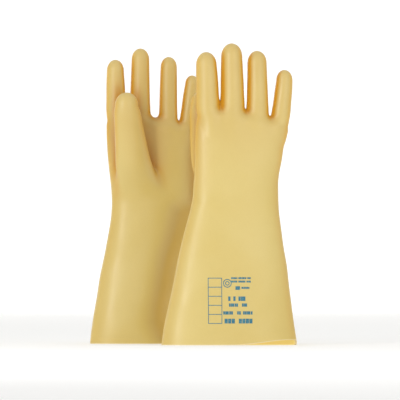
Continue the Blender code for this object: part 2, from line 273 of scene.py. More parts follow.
class Glove:
    """One glove's sizes, read from the frame, and its distance field."""

    def __init__(self, side, palm_sign):
        self.side = side
        self.palm_sign = palm_sign
        low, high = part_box(side + "_gauntlet")
        self.centre_y = (low.y + high.y) / 2.0
        self.wrist = JOINTS[side + "_wrist_bend"]["pos_m"][2]
        self.measure_body()
        self.fingers = {name: self.measure_finger(name) for name in FINGERS}
        self.measure_thumb()
        self.build_field()

    def measure_body(self):
        """Widths and thickness of the cuff and palm at rising heights."""
        rows = []
        for height in np.linspace(LOWEST_SLICE, self.wrist - WRIST_GAP, CUFF_SLICES):
            rows.append((height, *slice_extent(self.side + "_gauntlet", height)))
        for height in np.linspace(self.wrist + WRIST_GAP, self.wrist + HAND_SPAN, HAND_SLICES):
            rows.append((height, *slice_extent(self.side + "_hand", height)))
        rows = np.array(rows)
        heights = rows[:, 0]
        if self.side == "left":
            from_heel = (heights - self.wrist - HEEL_ABOVE_WRIST) / HEEL_SPREAD
            rows[:, 2] += HEEL_FULLNESS * np.exp(-(from_heel**2))
        cuff = heights < self.wrist
        if self.palm_sign > 0:
            back = np.where(cuff, rows[:, 4], rows[:, 3])
        else:
            back = np.where(cuff, rows[:, 3], rows[:, 4])
        self.left = Profile(heights, rows[:, 1])
        self.right = Profile(heights, rows[:, 2])
        self.half_w = Profile(heights, np.abs(back - self.centre_y))

    def measure_finger(self, name):
        """Centre line, radius and heights of one stall."""
        stem = f"{self.side}_{name}"
        root = JOINTS[stem + "_root_bend"]["pos_m"]
        tip = JOINTS[stem + "_tip_bend"]["pos_m"]
        low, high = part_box(stem + "_middle")
        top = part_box(stem + "_tip")[1].z + STALL_TOP_SHIFT.get(stem, 0.0)
        lean = (tip[0] - root[0]) / (tip[2] - root[2])
        half = (high.x - low.x - abs(lean) * (high.z - low.z)) / 2.0
        crotch = root[2] - CROTCH_BELOW_HINGE
        share = (tip[2] - crotch) / (top - crotch)
        curl = (tip[1] - self.centre_y) / share**2
        return {
            "root": root,
            "lean": lean,
            "half": half,
            "top": top,
            "crotch": crotch,
            "curl": curl,
        }

    def measure_thumb(self):
        """Root, direction, length between its joints and top of the thumb."""
        stem = self.side + "_thumb"
        root = Vector(JOINTS[stem + "_root_bend"]["pos_m"])
        tip = Vector(JOINTS[stem + "_tip_bend"]["pos_m"])
        self.thumb_root = root
        self.thumb_along = (tip - root).normalized()
        self.thumb_run = (tip - root).length
        self.thumb_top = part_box(stem + "_tip")[1].z

    def grid_points(self):
        """Coordinates of the grid's nodes, w being the offset towards the palm side."""
        boxes = [
            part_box(node) for node in frame["nodes"] if node.startswith(self.side + "_")
        ]
        low = np.min([box[0] for box in boxes], axis=0) - MARGIN
        high = np.max([box[1] for box in boxes], axis=0) + MARGIN
        low[2] = -BELOW_FLOOR
        self.low = low
        axes = [np.arange(low[i], high[i] + CELL, CELL, dtype=np.float32) for i in range(3)]
        self.shape = tuple(len(axis) for axis in axes)
        x = axes[0][:, None, None]
        w = (self.palm_sign * (axes[1] - self.centre_y))[None, :, None]
        z = axes[2][None, None, :]
        return x, w, z

    def body_distance(self, x, w, z):
        """Cuff and palm: an oval section at each height, domed at the knuckles."""
        stalls = [self.fingers[name] for name in FINGERS]
        knots = [stall["root"][0] for stall in stalls]
        tops = [stall["crotch"] - PALM_TOP_BELOW_CROTCH for stall in stalls]
        top = np.interp(x, knots, tops).astype(np.float32)
        level = np.minimum(z, top)
        tuck = PALM_TUCK * smooth_step((level - self.wrist - PALM_TUCK_FROM) / PALM_TUCK_OVER)
        left = self.left(level) + tuck
        right = self.right(level) - tuck
        half_w = self.half_w(level) - tuck * PALM_TUCK_THROUGH
        return oval_distance(
            x - (left + right) / 2.0,
            w,
            z - level,
            (right - left) / 2.0,
            half_w,
            PALM_TOP_ROUNDING,
            SECTION_POWER,
        )

    def finger_distance(self, name, x, w, z):
        """A round stall that tapers to a dome and curls slightly to the palm."""
        stall = self.fingers[name]
        root, top, crotch = stall["root"], stall["top"], stall["crotch"]
        half = stall["half"]
        tip_half = half * FINGER_TIP_SHARE
        dome_base = top - tip_half * FINGER_DOME_RATIO
        heights = [crotch + rise for rise, _ in FINGER_TAPER] + [dome_base]
        widths = [half * share for _, share in FINGER_TAPER] + [tip_half]
        radius = Profile(heights, widths, FINGER_SOFTNESS)
        level = np.clip(z, crotch - FINGER_LOW_END, dome_base)
        share = np.maximum(level - crotch, 0.0) / (top - crotch)
        centre_x = root[0] + stall["lean"] * (level - root[2])
        centre_w = self.palm_sign * stall["curl"] * share**2
        half_u = radius(level)
        half_w = np.minimum(half_u, half * FINGER_DEPTH_LIMIT) * FINGER_DEPTH_SHARE
        return oval_distance(
            x - centre_x,
            w - centre_w,
            z - level,
            half_u,
            half_w,
            tip_half * FINGER_DOME_RATIO,
            2.0,
        )

    def thumb_centre(self, level):
        """Centre of the thumb at a height: straight above its root, curving in below."""
        slope_x = self.thumb_along.x / self.thumb_along.z
        slope_w = self.palm_sign * self.thumb_along.y / self.thumb_along.z
        rise = level - self.thumb_root.z
        below = np.minimum(rise, 0.0)
        above = np.maximum(rise - THUMB_CURL_FROM, 0.0)
        x = self.thumb_root.x + slope_x * rise + THUMB_LOW_SWAY * below**2
        w = self.palm_sign * (self.thumb_root.y - self.centre_y) + slope_w * rise
        w = w - THUMB_LOW_SINK * below**2 - THUMB_CURL * above**2
        return x, np.maximum(w, THUMB_DEEPEST)

    def thumb_distance(self, x, w, z):
        """The thumb, whose lower end sinks into the palm."""
        tip_half = THUMB_HALF * THUMB_TIP_SHARE
        dome_base = self.thumb_top - tip_half * THUMB_DOME_RATIO
        root = self.thumb_root.z
        heights = [root + rise for rise, _, _ in THUMB_SECTIONS] + [dome_base]
        widths = [THUMB_HALF * share for _, share, _ in THUMB_SECTIONS] + [tip_half]
        depths = [depth for _, _, depth in THUMB_SECTIONS] + [THUMB_TIP_DEPTH]
        half_u = Profile(heights, widths, THUMB_SOFTNESS)
        half_w = Profile(heights, depths, THUMB_SOFTNESS)
        level = np.clip(z, root - THUMB_LOW_END, dome_base)
        centre_x, centre_w = self.thumb_centre(level)
        return oval_distance(
            x - centre_x,
            w - centre_w,
            z - level,
            half_u(level),
            half_w(level),
            tip_half * THUMB_DOME_RATIO,
            THUMB_POWER,
        )

    def build_field(self):
        """Distance to the outer skin, negative inside, on a regular grid."""
        x, w, z = self.grid_points()
        field = self.body_distance(x, w, z)
        stalls = None
        for name in FINGERS:
            distance = self.finger_distance(name, x, w, z)
            stalls = distance if stalls is None else smooth_min(stalls, distance, FINGER_BLEND)
        inward = np.minimum(x - self.left(z), self.right(z) - x)
        inward = smooth_step((inward - EDGE_BLEND_FROM) / EDGE_BLEND_OVER)
        reach = EDGE_BLEND + (FINGER_PALM_BLEND - EDGE_BLEND) * inward
        field = smooth_min(field, stalls, reach)
        below = smooth_step((self.thumb_root.z - THUMB_LOW_BLEND_FROM - z) / THUMB_LOW_BLEND_OVER)
        reach = THUMB_BLEND + (THUMB_LOW_BLEND - THUMB_BLEND) * below
        field = smooth_min(field, self.thumb_distance(x, w, z), reach)
        field = field + self.softening(x, w, z)
        self.field = np.ascontiguousarray(np.broadcast_to(field, self.shape), dtype=np.float32)
        self.slopes = np.gradient(self.field, CELL)

    def softening(self, x, w, z):
        """Shallow hollows of a soft wall: positive where the skin sinks in."""
        total = self.waviness(x, w, z)
        for path, depth, widths, _ in self.hollows():
            near = self.near_path(path, widths, x, z)
            total = total + depth * near * smooth_step(w / DENT_FADE)
        return total

    def hollows(self):
        """Dents on the palm side, and a line along the heel with no depth: (path of x, z points,
        depth, widths, painted shade).
        """
        middle = self.fingers["middle"]["root"][0]
        palm = [(middle + offset, height) for offset, height in PALM_DENT_LINE]
        dents = [(palm, PALM_DENT_DEPTH, (PALM_DENT_WIDTH, PALM_DENT_WIDTH), PALM_DENT_SHADE)]
        if self.side == "left":
            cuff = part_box("left_gauntlet")[1].x
            valley = [(cuff - inset, height) for inset, height in VALLEY_LINE]
            dents.append((valley, VALLEY_DEPTH, VALLEY_WIDTHS, VALLEY_SHADE))
            edge = self.right(np.array(HEEL_HEIGHTS))
            heel = [(x - HEEL_INSET, height) for x, height in zip(edge, HEEL_HEIGHTS)]
            dents.append((heel, 0.0, HEEL_WIDTHS, HEEL_SHADE))
        return dents

    def near_path(self, path, widths, x, z):
        """1 on a downward path, falling to 0 at each side over about twice its width."""
        best = None
        for (x0, z0), (x1, z1) in zip(path, path[1:]):
            run_x, run_z = x1 - x0, z1 - z0
            share = ((x - x0) * run_x + (z - z0) * run_z) / (run_x**2 + run_z**2)
            share = np.clip(share, 0.0, 1.0)
            gap = (x - x0 - share * run_x) ** 2 + (z - z0 - share * run_z) ** 2
            aside = (run_x * (z - z0) - run_z * (x - x0)) / math.hypot(run_x, run_z)
            right = smooth_step(0.5 + aside / SIDE_CHANGE)
            gap = gap / (widths[0] + (widths[1] - widths[0]) * right) ** 2
            best = gap if best is None else np.minimum(best, gap)
        return np.exp(-best)

    def waviness(self, x, w, z):
        """The slight unevenness of a dipped wall."""
        phase = 1.3 if self.side == "left" else 0.0
        slow = np.sin(61.0 * z + 23.0 * x + phase) * np.sin(47.0 * x + 31.0 * w + 0.7 + phase)
        quick = np.sin(118.0 * z - 41.0 * x + phase) * np.sin(97.0 * x + 0.4)
        fade = smooth_step((self.wrist + WAVE_FADE - z) / WAVE_FADE)
        share = WAVE_HAND_SHARE + (1.0 - WAVE_HAND_SHARE) * fade
        return (WAVE_SLOW * slow + WAVE_QUICK * quick) * share

    def sample(self, grid, points):
        """Values of a grid at points, straight-line between its nodes."""
        place = (points - self.low) / CELL
        limit = np.array(self.shape) - 1.001
        place = np.clip(place, 0.0, limit)
        base = place.astype(np.int32)
        rest = place - base
        total = np.zeros(len(points))
        for corner in range(8):
            shift = np.array([corner >> 2 & 1, corner >> 1 & 1, corner & 1])
            weight = np.prod(np.where(shift, rest, 1.0 - rest), axis=1)
            index = base + shift
            total += weight * grid[index[:, 0], index[:, 1], index[:, 2]]
        return total

    def field_at(self, points):
        return self.sample(self.field, points)

    def normals(self, points):
        normal = np.stack([self.sample(slope, points) for slope in self.slopes], axis=1)
        return normal / np.maximum(np.linalg.norm(normal, axis=1), 1e-9)[:, None]

    def web_height(self, name):
        """Height of the higher web beside a stall, where it parts from its neighbour."""
        place = FINGERS.index(name)
        webs = []
        for other in FINGERS[max(0, place - 1) : place + 2]:
            if other == name:
                continue
            own_x = self.fingers[name]["root"][0]
            other_x = self.fingers[other]["root"][0]
            low, high = self.wrist + WEB_SEARCH[0], self.wrist + WEB_SEARCH[1]
            heights = np.arange(low, high, CELL / 2.0)
            gap = np.full(len(heights), -1.0)
            for share in WEB_SHARES:
                x = own_x + (other_x - own_x) * share
                line = np.array([(x, self.centre_y, height) for height in heights])
                gap = np.maximum(gap, self.sample(self.field, line))
            webs.append(heights[gap < 0.0].max(initial=heights[0]))
        return max(webs)

    def crease(self, points, normals):
        """How far neighbouring walls close in on a point, from 0 in the open to 1: the share of
        painted shade in creases.
        """
        high = self.low + (np.array(self.shape) - 1) * CELL
        total = np.zeros(len(points))
        for reach in CREASE_REACHES:
            place = points + normals * reach
            beyond = np.linalg.norm(place - np.clip(place, self.low, high), axis=1)
            found = self.sample(self.field, place) + beyond
            total += np.clip(1.0 - found / reach, 0.0, 1.0)
        return total / len(CREASE_REACHES)

    def sunk(self, points):
        """Share of painted shade on a palm-side point, in a dent or along the heel, from 0 to 1.
        """
        x, z = points[:, 0], points[:, 2]
        total = np.zeros(len(points))
        for path, _, widths, tint in self.hollows():
            total += tint * self.near_path(path, widths, x, z)
        palmward = self.palm_sign * (points[:, 1] - self.centre_y)
        return total * smooth_step(1.0 + palmward / DENT_FADE)

    def side_shade(self, points, normals):
        """How far a wall turns to the side, more so high on the glove, from 0 to 1: the share of
        painted shade on side walls.
        """
        start = np.where(normals[:, 0] > 0.0, TURNED_RIGHT, TURNED_LEFT)
        aside = smooth_step((np.abs(normals[:, 0]) - start) / TURNED_OVER)
        rise = smooth_step((points[:, 2] - EDGE_RISE_FROM) / EDGE_RISE_OVER)
        return aside * (EDGE_LOW + (EDGE_HIGH - EDGE_LOW) * rise)

    def skin(self, depth):
        """Points and quads of the skin, or of its inner face at a depth."""
        grid = openvdb.FloatGrid(1.0)
        grid.copyFromArray(self.field + depth)
        points, quads = grid.convertToQuads(0.0)
        return points.astype(np.float64) * CELL + self.low, quads.astype(np.int64)


class Cut:
    """A plane that divides the skin near one stall, or all of it."""

    def __init__(self, point, normal, touches):
        self.point = Vector(point)
        self.normal = Vector(normal)
        self.touches = touches


def bend_length(joint_name, radius):
    """Length of skin that a bend needs, from the joint's larger limit."""
    limits = JOINTS[joint_name]["range_deg"]
    angle = math.radians(max(abs(limit) for limit in limits))
    return BLEND_LENGTH_FACTOR * radius * angle


class Divider:
    """Where each of a glove's pieces starts, and which piece a point belongs to."""

    def __init__(self, glove):
        self.glove = glove
        self.wrist_start = glove.wrist - WRIST_ZONE
        self.zones = {}
        for name, stall in glove.fingers.items():
            for part in ("root", "middle", "tip"):
                joint = f"{glove.side}_{name}_{part}_bend"
                height = JOINTS[joint]["pos_m"][2]
                length = bend_length(joint, stall["half"])
                start = max(height - length / 2.0, glove.web_height(name) + WEB_CLEARANCE)
                self.zones[name, part] = (start, start + length)
        half = bend_length(glove.side + "_thumb_root_bend", THUMB_ROOT_RADIUS) / 2.0
        self.zones["thumb", "root"] = (-half, half)
        half = bend_length(glove.side + "_thumb_tip_bend", THUMB_TIP_RADIUS) / 2.0
        self.zones["thumb", "tip"] = (glove.thumb_run - half, glove.thumb_run + half)

    def nearest_finger(self, points):
        gaps = []
        for name in FINGERS:
            stall = self.glove.fingers[name]
            centre = stall["root"][0] + stall["lean"] * (points[:, 2] - stall["root"][2])
            gaps.append(np.abs(points[:, 0] - centre) - stall["half"])
        return np.argmin(gaps, axis=0)

    def along_thumb(self, points):
        return (points - np.array(self.glove.thumb_root)) @ np.array(self.glove.thumb_along)

    def in_thumb(self, points):
        glove = self.glove
        through = glove.palm_sign * (points[:, 1] - glove.centre_y)
        centre = glove.thumb_centre(points[:, 2])[1]
        low = glove.thumb_root.z - THUMB_DOWNWARD
        return (through > centre - THUMB_INWARD) & (points[:, 2] > low)

    def piece_of(self, points):
        """Name of the piece for each point."""
        names = np.full(len(points), "gauntlet", dtype="U16")
        names[points[:, 2] > self.wrist_start] = "hand"
        thumb = self.in_thumb(points)
        nearest = self.nearest_finger(points)
        for index, name in enumerate(FINGERS):
            own = (nearest == index) & ~thumb
            for part, body in (("root", "base"), ("middle", "middle"), ("tip", "tip")):
                above = points[:, 2] > self.zones[name, part][0]
                names[own & above] = f"{name}_{body}"
        along = self.along_thumb(points)
        names[thumb & (along > self.zones["thumb", "root"][0])] = "thumb_base"
        names[thumb & (along > self.zones["thumb", "tip"][0])] = "thumb_tip"
        return names

    def cuts(self):
        """Every plane that the skin is divided along, with the faces it touches."""
        cuts = [Cut((0, 0, self.wrist_start), (0, 0, 1), everywhere)]
        for index, name in enumerate(FINGERS):
            for part in ("root", "middle", "tip"):
                height = self.zones[name, part][0]
                cuts.append(Cut((0, 0, height), (0, 0, 1), self.finger_touch(index)))
        along = self.glove.thumb_along
        for part in ("root", "tip"):
            point = self.glove.thumb_root + along * self.zones["thumb", part][0]
            cuts.append(Cut(point, along, self.in_thumb))
        return cuts

    def finger_touch(self, index):
        return lambda points: (self.nearest_finger(points) == index) & ~self.in_thumb(points)


def everywhere(points):
    return np.full(len(points), True)


def add_object(name, data):
    """A mesh, light or camera as an object in the scene."""
    thing = bpy.data.objects.new(name, data)
    bpy.context.scene.collection.objects.link(thing)
    return thing


def face_centres(faces):
    return np.array([face.calc_center_median() for face in faces]).reshape(-1, 3)


def bisect_near(shape, cut):
    """Splits the faces that a cut's plane passes, and leaves the rest alone."""
    reach = CELL * 2.5
    near = [
        face
        for face in shape.faces
        if abs((face.verts[0].co - cut.point).dot(cut.normal)) < reach
    ]
    if not near:
        return
    chosen = cut.touches(face_centres(near))
    faces = [face for face, keep in zip(near, chosen) if keep]
    edges = {edge for face in faces for edge in face.edges}
    verts = {vert for face in faces for vert in face.verts}
    bmesh.ops.bisect_plane(
        shape,
        geom=list(verts) + list(edges) + faces,
        plane_co=cut.point,
        plane_no=cut.normal,
        dist=CUT_TOLERANCE,
    )


def skin_shape(glove):
    """Both faces of a glove's wall in one bmesh, cut off level with the floor."""
    shape = bmesh.new()
    inner_layer = shape.faces.layers.int.new("inner")
    for inner, depth in ((0, 0.0), (1, WALL)):
        points, quads = glove.skin(depth)
        verts = [shape.verts.new(point) for point in points]
        centre = points[quads].mean(axis=1)
        first, second, third, fourth = points[quads].transpose(1, 0, 2)
        across = np.cross(third - first, fourth - second)
        facing = np.sum(across * glove.normals(centre), axis=1)
        outward = bool(np.median(facing) > 0)
        if outward == bool(inner):
            quads = quads[:, ::-1]
        for quad in quads:
            face = shape.faces.new([verts[i] for i in quad])
            face[inner_layer] = inner
    everything = list(shape.verts) + list(shape.edges) + list(shape.faces)
    bmesh.ops.bisect_plane(
        shape,
        geom=everything,
        plane_co=(0, 0, 0),
        plane_no=(0, 0, 1),
        dist=CUT_TOLERANCE,
        clear_inner=True,
    )
    return shape


def boundary_loops(shape):
    """Closed chains of open edges."""
    loose = {edge for edge in shape.edges if edge.is_boundary}
    loops = []
    while loose:
        edge = loose.pop()
        chain = [edge]
        front = [edge.verts[0], edge.verts[1]]
        while front:
            vert = front.pop()
            for after in vert.link_edges:
                if after in loose:
                    loose.remove(after)
                    chain.append(after)
                    front.append(after.other_vert(vert))
        loops.append(chain)
    return loops


def loop_centre(loop):
    total = Vector()
    for edge in loop:
        total += edge.verts[0].co + edge.verts[1].co
    return total / (2 * len(loop))


def close_walls(shape, side_layer):
    """Joins each outer open loop to the inner loop beside it with a ring of faces."""
    loops = {0: [], 1: []}
    for loop in boundary_loops(shape):
        if len(loop) > SHORTEST_LOOP:
            loops[loop[0].link_faces[0][side_layer]].append(loop)
    while loops[0] and loops[1]:
        pairs = [
            ((loop_centre(outer) - loop_centre(inner)).length, outer, inner)
            for outer in loops[0]
            for inner in loops[1]
        ]
        _, outer, inner = min(pairs, key=lambda pair: pair[0])
        loops[0].remove(outer)
        loops[1].remove(inner)
        made = bmesh.ops.bridge_loops(shape, edges=outer + inner)
        for face in made["faces"]:
            face[side_layer] = 2


def piece_mesh(name, glove, verts, faces, sides):
    """One closed piece of skin, its open edges joined by rings of faces."""
    shape = bmesh.new()
    side_layer = shape.faces.layers.int.new("inner")
    made = [shape.verts.new(point) for point in verts]
    for face, side in zip(faces, sides):
        new = shape.faces.new([made[i] for i in face])
        new[side_layer] = side
    close_walls(shape, side_layer)
    caps = [face for face in shape.faces if face[side_layer] == 2]
    bmesh.ops.recalc_face_normals(shape, faces=caps)
    shape.normal_update()
    orient_caps(shape, side_layer)
    mesh = bpy.data.meshes.new(name)
    shape.to_mesh(mesh)
    shape.free()
    return mesh


def orient_caps(shape, side_layer):
    """Turns each cap face so that it agrees with the outer face beside it."""
    for face in shape.faces:
        if face[side_layer] != 2:
            continue
        for loop in face.loops:
            other = loop.link_loop_radial_next
            if other.face[side_layer] != 2:
                if other.vert == loop.vert:
                    face.normal_flip()
                break


def shade_from_field(mesh, glove):
    """Custom normals from the field on the skin, and flat ones on the cut rings."""
    points = mesh_values(mesh.vertices, "co", 3)
    normals = glove.normals(points)
    sides = mesh_values(mesh.attributes["inner"].data, "value", kind=np.int32)
    totals = mesh_values(mesh.polygons, "loop_total", kind=np.int32)
    flat = np.repeat(mesh_values(mesh.polygons, "normal", 3), totals, axis=0)
    side = np.repeat(sides, totals)
    corners = mesh_values(mesh.loops, "vertex_index", kind=np.int32)
    loop_normals = normals[corners]
    loop_normals[side == 1] *= -1.0
    loop_normals[side == 2] = flat[side == 2]
    mesh.shade_smooth()
    mesh.normals_split_custom_set(loop_normals.tolist())
    outside = glove.field_at(points) > -WALL / 2.0
    # Shares of painted shade in creases, on side walls and in palm-side dents, and the pale rim
    # line
    looks = {
        "crease": glove.crease(points, normals) * outside,
        "rim": np.clip(1.0 - points[:, 2] / RIM_LINE, 0.0, 1.0),
        "edge": glove.side_shade(points, normals) * outside,
        "sunk": glove.sunk(points) * outside,
    }
    for name, values in looks.items():
        layer = mesh.attributes.new(name, "FLOAT", "POINT")
        layer.data.foreach_set("value", values.astype(np.float32))
    material_index = np.choose(sides, (0, 2, 1)).astype(np.int32)
    mesh.polygons.foreach_set("material_index", material_index)


def build_skins(glove, materials):
    """All pieces of one glove's skin, as objects by piece name."""
    divider = Divider(glove)
    shape = skin_shape(glove)
    for cut in divider.cuts():
        bisect_near(shape, cut)
    shape.verts.index_update()
    points = np.array([vert.co for vert in shape.verts])
    layer = shape.faces.layers.int["inner"]
    faces = [[vert.index for vert in face.verts] for face in shape.faces]
    sides = np.array([face[layer] for face in shape.faces])
    centres = face_centres(shape.faces)
    shape.free()
    names = divider.piece_of(centres)
    skins = {}
    for name in np.unique(names):
        chosen = np.flatnonzero(names == name)
        own = [faces[i] for i in chosen]
        used = np.unique(np.concatenate([np.array(face) for face in own]))
        renumber = np.full(len(points), -1)
        renumber[used] = np.arange(len(used))
        local = [[int(renumber[i]) for i in face] for face in own]
        title = f"skin_{glove.side}_{name}"
        mesh = piece_mesh(title, glove, points[used].tolist(), local, sides[chosen].tolist())
        shade_from_field(mesh, glove)
        for material in materials:
            mesh.materials.append(material)
        skins[str(name)] = add_object(title, mesh)
    return skins, divider


def lift_rim(glove, skin):
    """The back of the right cuff's edge stands off the floor, as it does on the frame."""
    low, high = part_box("right_gauntlet")
    middle = (low.x + high.x) / 2.0
    half = (high.x - low.x) / 2.0
    for vertex in skin.data.vertices:
        z = vertex.co.z
        share = (vertex.co.x - middle) / half
        if z > RIM_LIFT_HEIGHT or share <= 0.0:
            continue
        back = (glove.centre_y - vertex.co.y) / ((high.y - low.y) / 2.0)
        rise = RIM_RISE * math.sin(RIM_SWEEP * share**RIM_POWER)
        fall = (1.0 - z / RIM_LIFT_HEIGHT) ** 2
        vertex.co.z += rise * fall * float(smooth_step((back - RIM_BACK_FROM) / RIM_BACK_OVER))


def attach_skins(glove, skins):
    """Hides the frame's pieces under the skin; the cuff follows its body, and the other pieces
    stay in place.
    """
    side = glove.side
    for name, skin in skins.items():
        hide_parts(f"{side}_{name}")
    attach(skins["gauntlet"], side + "_gauntlet")
    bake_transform(skins["hand"])
    for name in FINGERS:
        for part, piece in (("root", "base"), ("middle", "middle"), ("tip", "tip")):
            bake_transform(skins[f"{name}_{piece}"])
    for part, piece in (("root", "base"), ("tip", "tip")):
        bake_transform(skins["thumb_" + piece])


# Looks
LATEX_LIGHT = (0.705, 0.553, 0.192, 1.0)
LATEX_DEEP = (0.680, 0.520, 0.162, 1.0)
FINGER_LIGHT = (0.680, 0.502, 0.170, 1.0)
FINGER_DEEP = (0.655, 0.465, 0.148, 1.0)
# Painted shade in creases
CREASE_PAINTED_SHADE = (0.560, 0.240, 0.010, 1.0)
# Painted shade on walls that turn to the side
SIDE_PAINTED_SHADE = (0.800, 0.430, 0.012, 1.0)
# Painted shade in palm-side dents and along the heel
PALM_PAINTED_SHADE = (0.495, 0.285, 0.046, 1.0)
# Painted light: colour of the inner face's glow
INSIDE_PAINTED_LIGHT = (0.710, 0.640, 0.260, 1.0)
LATEX_RIM = (0.860, 0.760, 0.480, 1.0)
LATEX_SPECK = (0.560, 0.400, 0.120, 1.0)
# Strength of the inner face's painted light
INSIDE_PAINTED_GLOW = 0.38
CUT_PALE = (0.840, 0.710, 0.400, 1.0)
CUT_DEEP = (0.780, 0.620, 0.300, 1.0)
INK_COLOUR = (0.035, 0.165, 0.250, 1.0)
INK_WORN = (0.090, 0.250, 0.300, 1.0)


class Shader:
    """A node material, built one node at a time."""

    def __init__(self, name):
        self.material = bpy.data.materials.new(name)
        self.material.use_nodes = True
        self.tree = self.material.node_tree
        self.surface = self.tree.nodes["Principled BSDF"]

    def node(self, kind, **settings):
        made = self.tree.nodes.new(kind)
        for key, value in settings.items():
            setattr(made, key, value)
        return made

    def join(self, start, end):
        self.tree.links.new(start, end)

    def place(self):
        return self.node("ShaderNodeTexCoord").outputs["Object"]

    def attribute(self, name):
        return self.node("ShaderNodeAttribute", attribute_name=name).outputs["Fac"]

    def noise(self, scale, detail=3.0, roughness=0.5):
        """Noise of about one feature per 1/scale metres."""
        made = self.node("ShaderNodeTexNoise")
        made.inputs["Scale"].default_value = scale
        made.inputs["Detail"].default_value = detail
        made.inputs["Roughness"].default_value = roughness
        self.join(self.place(), made.inputs["Vector"])
        return made.outputs["Fac"]

    def ramp(self, value, low, high, low_out=0.0, high_out=1.0):
        made = self.node("ShaderNodeMapRange")
        made.inputs["From Min"].default_value = low
        made.inputs["From Max"].default_value = high
        made.inputs["To Min"].default_value = low_out
        made.inputs["To Max"].default_value = high_out
        made.interpolation_type = "SMOOTHSTEP"
        self.join(value, made.inputs["Value"])
        return made.outputs["Result"]

    def mix(self, share, first, second):
        made = self.node("ShaderNodeMix", data_type="RGBA")
        self.feed(made.inputs["Factor"], share)
        self.feed(made.inputs[6], first)
        self.feed(made.inputs[7], second)
        return made.outputs[2]

    def feed(self, socket, value):
        if isinstance(value, bpy.types.NodeSocket):
            self.join(value, socket)
        else:
            socket.default_value = value

    def bump(self, height, distance, strength, under=None):
        made = self.node("ShaderNodeBump")
        made.inputs["Distance"].default_value = distance
        made.inputs["Strength"].default_value = strength
        self.join(height, made.inputs["Height"])
        if under is not None:
            self.join(under, made.inputs["Normal"])
        return made.outputs["Normal"]


def latex_material(name, glow):
    """Natural latex with painted shade in creases, dents and side walls; the glow is painted
    light for daylight through the wall.
    """
    shader = Shader(name)
    surface = shader.surface
    cloud = shader.ramp(shader.noise(11.0, 3.0, 0.5), 0.32, 0.70)
    colour = shader.mix(cloud, LATEX_LIGHT, LATEX_DEEP)
    height = shader.node("ShaderNodeSeparateXYZ")
    shader.join(shader.place(), height.inputs[0])
    rise = shader.ramp(height.outputs["Z"], 0.17, 0.40)
    colour = shader.mix(rise, colour, shader.mix(cloud, FINGER_LIGHT, FINGER_DEEP))
    # Painted shade: a deeper colour where walls close in
    crease_shade_share = shader.ramp(shader.attribute("crease"), 0.01, 0.56, 0.0, 0.95)
    colour = shader.mix(crease_shade_share, colour, CREASE_PAINTED_SHADE)
    # Painted shade in palm-side dents, along the heel and on side walls, then the pale rim line
    for layer, tint in (("sunk", PALM_PAINTED_SHADE), ("edge", SIDE_PAINTED_SHADE), ("rim", LATEX_RIM)):
        colour = shader.mix(shader.attribute(layer), colour, tint)
    speck = shader.ramp(shader.noise(620.0, 2.0, 0.6), 0.30, 0.75, 0.0, 0.10)
    colour = shader.mix(speck, colour, LATEX_SPECK)
    shader.join(colour, surface.inputs["Base Color"])
    gloss = shader.ramp(shader.noise(38.0, 2.0), 0.3, 0.7, 0.32, 0.40)
    shader.join(gloss, surface.inputs["Roughness"])
    surface.inputs["Specular IOR Level"].default_value = 0.62
    # Painted light: the inner face glows, standing in for daylight through the wall
    if glow:
        surface.inputs["Emission Color"].default_value = INSIDE_PAINTED_LIGHT
        surface.inputs["Emission Strength"].default_value = glow
    grain = shader.bump(shader.noise(900.0, 2.0), 0.00010, 0.30)
    soft = shader.bump(shader.noise(55.0, 2.0), 0.0004, 0.20, grain)
    shader.join(soft, surface.inputs["Normal"])
    return shader.material


def cut_edge_material():
    """The pale cut edge of the cuff, matt where the blade passed."""
    shader = Shader("latex_cut_edge")
    surface = shader.surface
    streak = shader.ramp(shader.noise(260.0, 2.0), 0.35, 0.7)
    colour = shader.mix(streak, CUT_PALE, CUT_DEEP)
    shader.join(colour, surface.inputs["Base Color"])
    surface.inputs["Roughness"].default_value = 0.62
    shader.join(shader.bump(shader.noise(420.0, 3.0), 0.0002, 0.4), surface.inputs["Normal"])
    return shader.material


def ink_material():
    """Blue-green marking ink, a little uneven where the stamp met the rubber."""
    shader = Shader("ink")
    surface = shader.surface
    patchy = shader.ramp(shader.noise(420.0, 3.0, 0.6), 0.36, 0.70)
    colour = shader.mix(patchy, INK_COLOUR, INK_WORN)
    shader.join(colour, surface.inputs["Base Color"])
    surface.inputs["Roughness"].default_value = 0.55
    surface.inputs["Specular IOR Level"].default_value = 0.3
    return shader.material


# Marking, in metres across the cuff from the ladder's left line and up from the rim
LINE = 0.0009
LADDER_WIDTH = 0.019
LADDER_LOW = 0.0290
LADDER_CELL = 0.0122
LADDER_CELLS = 5
INK_LIFT = 0.00012
INK_GRID = 0.0012
BLOCK_SHARE = 0.88
SYMBOL_PLACE = (0.0262, 0.0835)
SYMBOL_LINE = 0.0011
SYMBOL_RINGS = ((0.0058, 36), (0.0030, 28))
PRINT_ROWS = (
    # left, low, height, blocks and gaps, width of a cell
    (0.0315, 0.0892, 0.0025, "21121.131211.121", 0.00124),
    (0.0315, 0.0846, 0.0025, "12112.112112.212", 0.00124),
    (0.0372, 0.0747, 0.0048, "3", 0.00240),
    (0.0455, 0.0760, 0.0027, "21121", 0.00160),
    (0.0272, 0.0598, 0.0060, "1.1.12", 0.00350),
    (0.0282, 0.0520, 0.0044, "1211..12", 0.00255),
    (0.0204, 0.0414, 0.0044, "1211..11.1121", 0.00270),
    (0.0222, 0.0294, 0.0064, "111.1111", 0.00485),
)


def rectangle(left, low, width, height):
    return (left, low, left + width, low + height)


def ladder_marks():
    marks = []
    tall = LADDER_CELL * LADDER_CELLS + LINE
    for left in (0.0, LADDER_WIDTH - LINE):
        marks.append(rectangle(left, LADDER_LOW, LINE, tall))
    for rung in range(LADDER_CELLS + 1):
        low = LADDER_LOW + rung * LADDER_CELL
        marks.append(rectangle(LINE, low, LADDER_WIDTH - 2 * LINE, LINE))
    return marks


